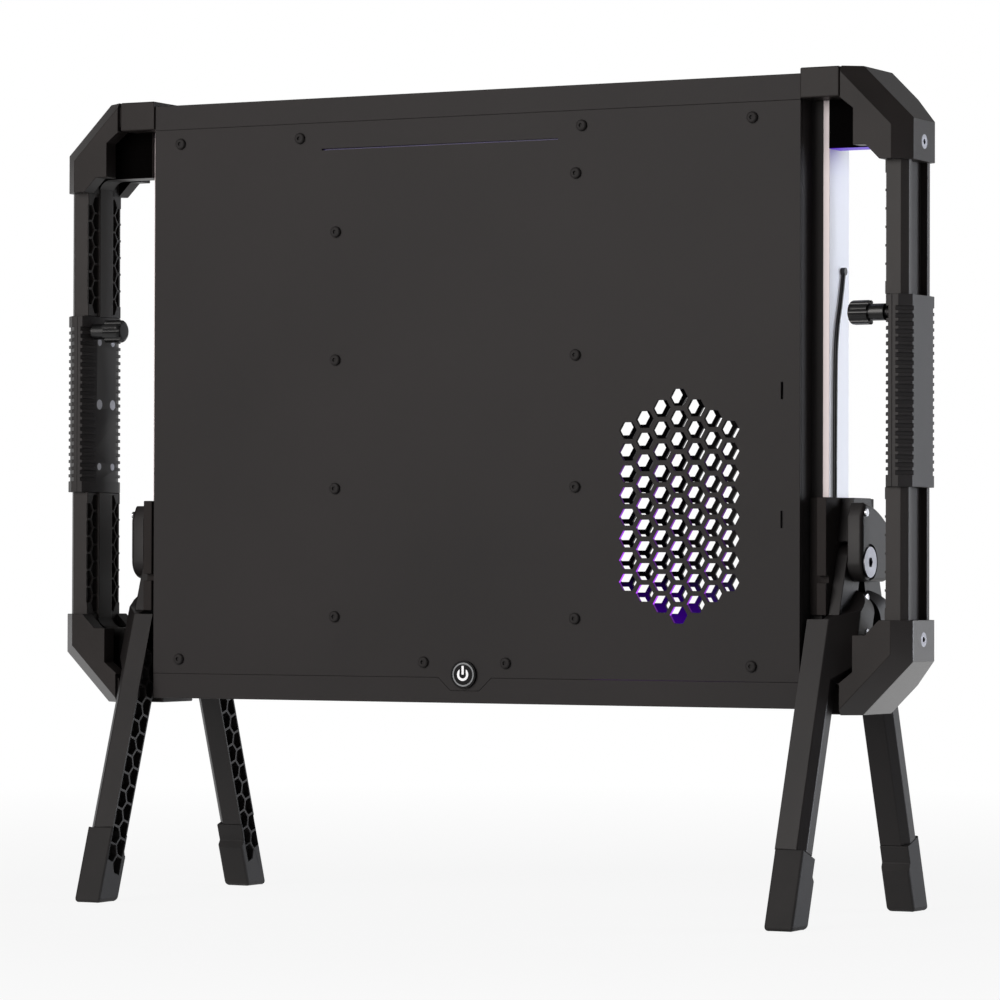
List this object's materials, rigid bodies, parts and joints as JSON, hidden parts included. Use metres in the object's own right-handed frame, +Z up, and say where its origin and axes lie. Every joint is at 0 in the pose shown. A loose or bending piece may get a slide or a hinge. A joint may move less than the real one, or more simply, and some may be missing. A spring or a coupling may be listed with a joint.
{
  "type": "portable mini-itx pc case",
  "caption": "Flat portable mini-ITX computer case with side carrying handles, ribbed grips, hexagon vents, a lit power button and splayed swing-out legs.",
  "frame": {"origin": "on the floor, midway between the feet", "axes": "+X across the case to the right of the back panel, +Y from the back panel to the front cover, +Z up"},
  "size_m": [0.6388, 0.2236, 0.5505],
  "materials": {
    "case_grey": "satin dark grey",
    "printed_grey": "fine grained grey",
    "grip_grey": "ribbed, matt",
    "handle_black": "matt black",
    "foot_rubber": "matt",
    "soft_black": "matt black",
    "button_black": "satin black",
    "opal_white": "opal",
    "violet_light": "lit diffuser",
    "white_light": "lit diffuser",
    "black_screw": "black oxide",
    "steel": "bright",
    "brass": "plain",
    "tray_aluminium": "plain"
  },
  "bodies": {
    "case": {"back_panel": "case_grey", "back_panel_screws": "black_screw", "bottom_rail": "case_grey", "corner_screws": "steel", "front_cover": "case_grey", "front_cover_screws": "black_screw", "grip_screws": "steel", "hinge_cover_screws": "steel", "lead_boot": "soft_black", "left_back_pivot_bolt": "steel", "left_bottom_bracket": "printed_grey", "left_bottom_end_block": "printed_grey", "left_front_pivot_pin": "steel", "left_grip_inner_half": "grip_grey", "left_grip_outer_half": "grip_grey", "left_handle_rail": "handle_black", "left_hinge_base": "printed_grey", "left_hinge_cover": "printed_grey", "left_side_panel": "opal_white", "left_top_bracket": "printed_grey", "left_top_end_block": "printed_grey", "left_tray_bar": "tray_aluminium", "left_upright": "case_grey", "motherboard_standoffs": "brass", "motherboard_tray": "tray_aluminium", "power_button_bezel": "button_black", "power_button_nut": "steel", "power_button_ring": "white_light", "power_switch": "button_black", "right_back_pivot_bolt": "steel", "right_bottom_bracket": "printed_grey", "right_bottom_end_block": "printed_grey", "right_front_pivot_pin": "steel", "right_grip_inner_half": "grip_grey", "right_grip_outer_half": "grip_grey", "right_handle_rail": "handle_black", "right_hinge_base": "printed_grey", "right_hinge_cover": "printed_grey", "right_side_panel": "opal_white", "right_top_bracket": "printed_grey", "right_top_end_block": "printed_grey", "right_tray_bar": "tray_aluminium", "right_upright": "case_grey", "side_lead": "soft_black", "slot_light_bar": "violet_light", "top_rail": "case_grey", "vent_light_bar": "violet_light"},
    "left_back_leg": {"left_back_leg": "printed_grey", "left_back_foot": "foot_rubber"},
    "left_front_leg": {"left_front_leg": "printed_grey", "left_front_foot": "foot_rubber"},
    "left_clamp_knob": {"left_clamp_knob": "soft_black"},
    "right_back_leg": {"right_back_leg": "printed_grey", "right_back_foot": "foot_rubber"},
    "right_front_leg": {"right_front_leg": "printed_grey", "right_front_foot": "foot_rubber"},
    "right_clamp_knob": {"right_clamp_knob": "soft_black"},
    "power_button": {"power_button_cap": "button_black", "power_button_symbol": "white_light"}
  },
  "joints": [
    {"name": "left_back_leg_hinge", "type": "hinge", "parent": "case", "child": "left_back_leg", "pos_m": [-0.2626, -0.0123, 0.2325], "axis": [-1, 0, 0], "range_deg": [0, 70]},
    {"name": "left_front_leg_hinge", "type": "hinge", "parent": "case", "child": "left_front_leg", "pos_m": [-0.2626, 0.0123, 0.2325], "axis": [1, 0, 0], "range_deg": [0, 70]},
    {"name": "left_knob_turn", "type": "hinge", "parent": "case", "child": "left_clamp_knob", "pos_m": [-0.3, -0.0385, 0.3925], "axis": [-1, 0, 0], "continuous": true},
    {"name": "right_back_leg_hinge", "type": "hinge", "parent": "case", "child": "right_back_leg", "pos_m": [0.2626, -0.0123, 0.2325], "axis": [-1, 0, 0], "range_deg": [0, 70]},
    {"name": "right_front_leg_hinge", "type": "hinge", "parent": "case", "child": "right_front_leg", "pos_m": [0.2626, 0.0123, 0.2325], "axis": [1, 0, 0], "range_deg": [0, 70]},
    {"name": "right_knob_turn", "type": "hinge", "parent": "case", "child": "right_clamp_knob", "pos_m": [0.3, -0.0385, 0.3925], "axis": [1, 0, 0], "continuous": true},
    {"name": "power_button_press", "type": "slide", "parent": "case", "child": "power_button", "axis": [0, 1, 0], "range_m": [0, 0.0015]}
  ]
}
